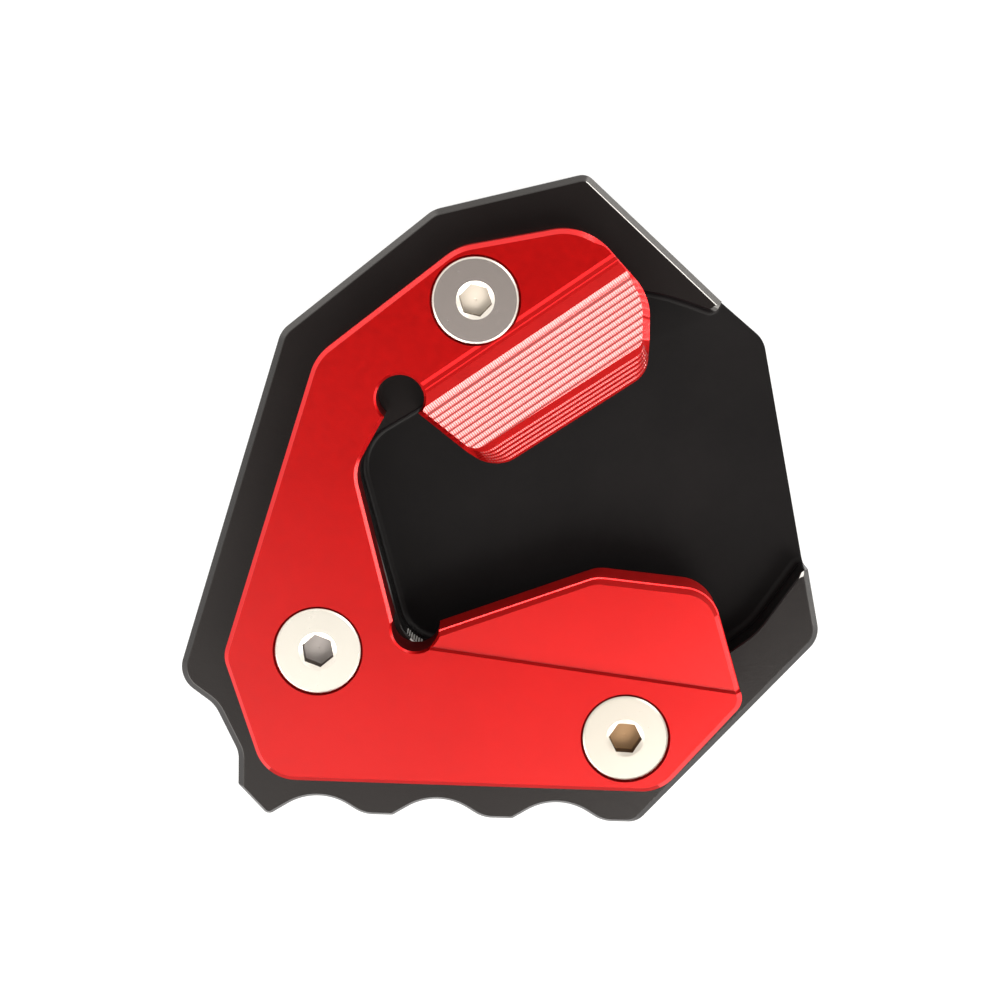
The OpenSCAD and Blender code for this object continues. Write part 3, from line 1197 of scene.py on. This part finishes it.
def screw_materials():
    """Finishes of each screw, in the order of SCREW_SIDE and its neighbours. The same plated
    steel is painted lighter or darker for the light on each screw: painted light on the left face
    and the top socket floor, painted shade on the top face, the right screw, the other socket
    floors and every socket wall.
    """
    zinc = turned_steel("zinc", (0.86, 0.82, 0.76), 0.24)
    # Lit and shaded copies of the same plated steel, painted for the light on each screw
    top_flat_painted_shade = turned_steel("zinc_top_flat_painted_shade", (0.58, 0.52, 0.50), 0.27)
    bright = turned_steel("zinc_left_flat_painted_light", (0.91, 0.88, 0.81), 0.27)
    right_painted_shade = turned_steel("zinc_right_painted_shade", (0.64, 0.60, 0.54), 0.27)
    top_floor_painted_light = turned_steel("zinc_top_floor_painted_light", (0.80, 0.73, 0.64), 0.5)
    left_floor_painted_shade = matt_metal("zinc_left_floor_painted_shade", (0.42, 0.39, 0.38), (0.46, 0.43, 0.42), 0.6)
    right_floor_painted_shade = matt_metal("zinc_right_floor_painted_shade", (0.42, 0.26, 0.14), (0.46, 0.29, 0.16), 0.6)
    shade = turned_steel("zinc_shade", (0.14, 0.11, 0.09), 0.4)
    return {
        "top": [zinc, top_flat_painted_shade, top_floor_painted_light, shade],
        "left": [zinc, bright, left_floor_painted_shade, shade],
        "right": [right_painted_shade, right_painted_shade, right_floor_painted_shade, shade],
    }


# Stage

def make_floor():
    """A pale floor that glows, so that it looks plain white round the part."""
    bm = bmesh.new()
    bmesh.ops.create_grid(bm, x_segments=1, y_segments=1, size=FLOOR_SIZE)
    floor = new_object("floor", bm)
    floor.location.z = FLOOR_Z
    material, _, shader = new_material("floor_paper")
    set_inputs(shader, {
        "Base Color": (FLOOR_ALBEDO, FLOOR_ALBEDO, FLOOR_ALBEDO, 1), "Roughness": FLOOR_ROUGH,
        "Specular IOR Level": 0, "Emission Color": (1, 1, 1, 1),
        "Emission Strength": FLOOR_GLOW,
    })
    floor.data.materials.append(material)


def lobe(tree, place, towards, start, full, low, high):
    """A smooth round patch of the sky: angles in degrees from its middle, then strengths."""
    dot = tree.nodes.new("ShaderNodeVectorMath")
    dot.operation = "DOT_PRODUCT"
    dot.inputs[1].default_value = Vector(towards).normalized()
    tree.links.new(place, dot.inputs[0])
    node = tree.nodes.new("ShaderNodeMapRange")
    node.interpolation_type = "SMOOTHSTEP"
    set_inputs(node, {"From Min": math.cos(math.radians(start)),
                      "From Max": math.cos(math.radians(full)), "To Min": low, "To Max": high})
    tree.links.new(dot.outputs["Value"], node.inputs["Value"])
    return node.outputs["Result"]


def combine(tree, operation, a, b):
    node = tree.nodes.new("ShaderNodeMath")
    node.operation = operation
    tree.links.new(a, node.inputs[0])
    tree.links.new(b, node.inputs[1])
    return node.outputs["Value"]


def make_tent():
    """A light tent round the part, with a dark opening overhead for the lens."""
    world = bpy.data.worlds.new("tent")
    bpy.context.scene.world = world
    world.use_nodes = True
    tree = world.node_tree
    background = tree.nodes["Background"]
    place = tree.nodes.new("ShaderNodeTexCoord").outputs["Generated"]
    total = lobe(tree, place, (0, 0, 1), TENT_START, TENT_FULL, *TENT_WALL)
    for towards, start, full, strength in SOFT_BOXES:
        box = lobe(tree, place, towards, start, full, 0, strength)
        total = combine(tree, "ADD", total, box)
    for towards, start, full, strength, top_end, top_full in LOW_STRIPS:
        low = lobe(tree, place, (0, 0, -1), top_end, top_full, 0, 1)
        side = lobe(tree, place, towards, start, full, 0, strength)
        total = combine(tree, "ADD", total, combine(tree, "MULTIPLY", side, low))
    hole = lobe(tree, place, *LENS_HOLE, 1, LENS_HOLE_LEVEL)
    total = combine(tree, "MULTIPLY", total, hole)
    tree.links.new(total, background.inputs["Strength"])
    set_inputs(background, {"Color": TENT_COLOR})


def make_camera():
    """A long lens almost straight above, leaning a little from the +Y side."""
    camera = bpy.data.objects.new("camera", bpy.data.cameras.new("camera"))
    camera.data.lens = LENS
    camera.data.sensor_width = SENSOR_W
    camera.data.clip_end = CLIP_END
    back = Vector((0, math.sin(CAMERA_LEAN), math.cos(CAMERA_LEAN)))
    camera.location = (Vector(CAMERA_TARGET) + back * CAMERA_DISTANCE) * MM
    camera.rotation_euler = (-CAMERA_LEAN, 0, 0)
    bpy.context.scene.collection.objects.link(camera)
    bpy.context.scene.camera = camera


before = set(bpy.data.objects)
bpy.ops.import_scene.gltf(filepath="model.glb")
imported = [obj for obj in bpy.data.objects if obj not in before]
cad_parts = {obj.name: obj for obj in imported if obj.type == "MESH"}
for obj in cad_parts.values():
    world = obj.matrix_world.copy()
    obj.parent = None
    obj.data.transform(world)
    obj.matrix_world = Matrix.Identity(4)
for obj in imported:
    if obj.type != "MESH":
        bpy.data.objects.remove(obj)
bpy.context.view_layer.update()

make_camera()
make_base(base_materials())
make_clamp(clamp_materials())
finishes = screw_materials()
for screw_name, (screw_at, screw_turn) in SCREWS.items():
    make_screw(screw_name, screw_at, screw_turn, finishes[screw_name])
make_floor()
make_tent()
bpy.context.scene.view_settings.view_transform = "Standard"
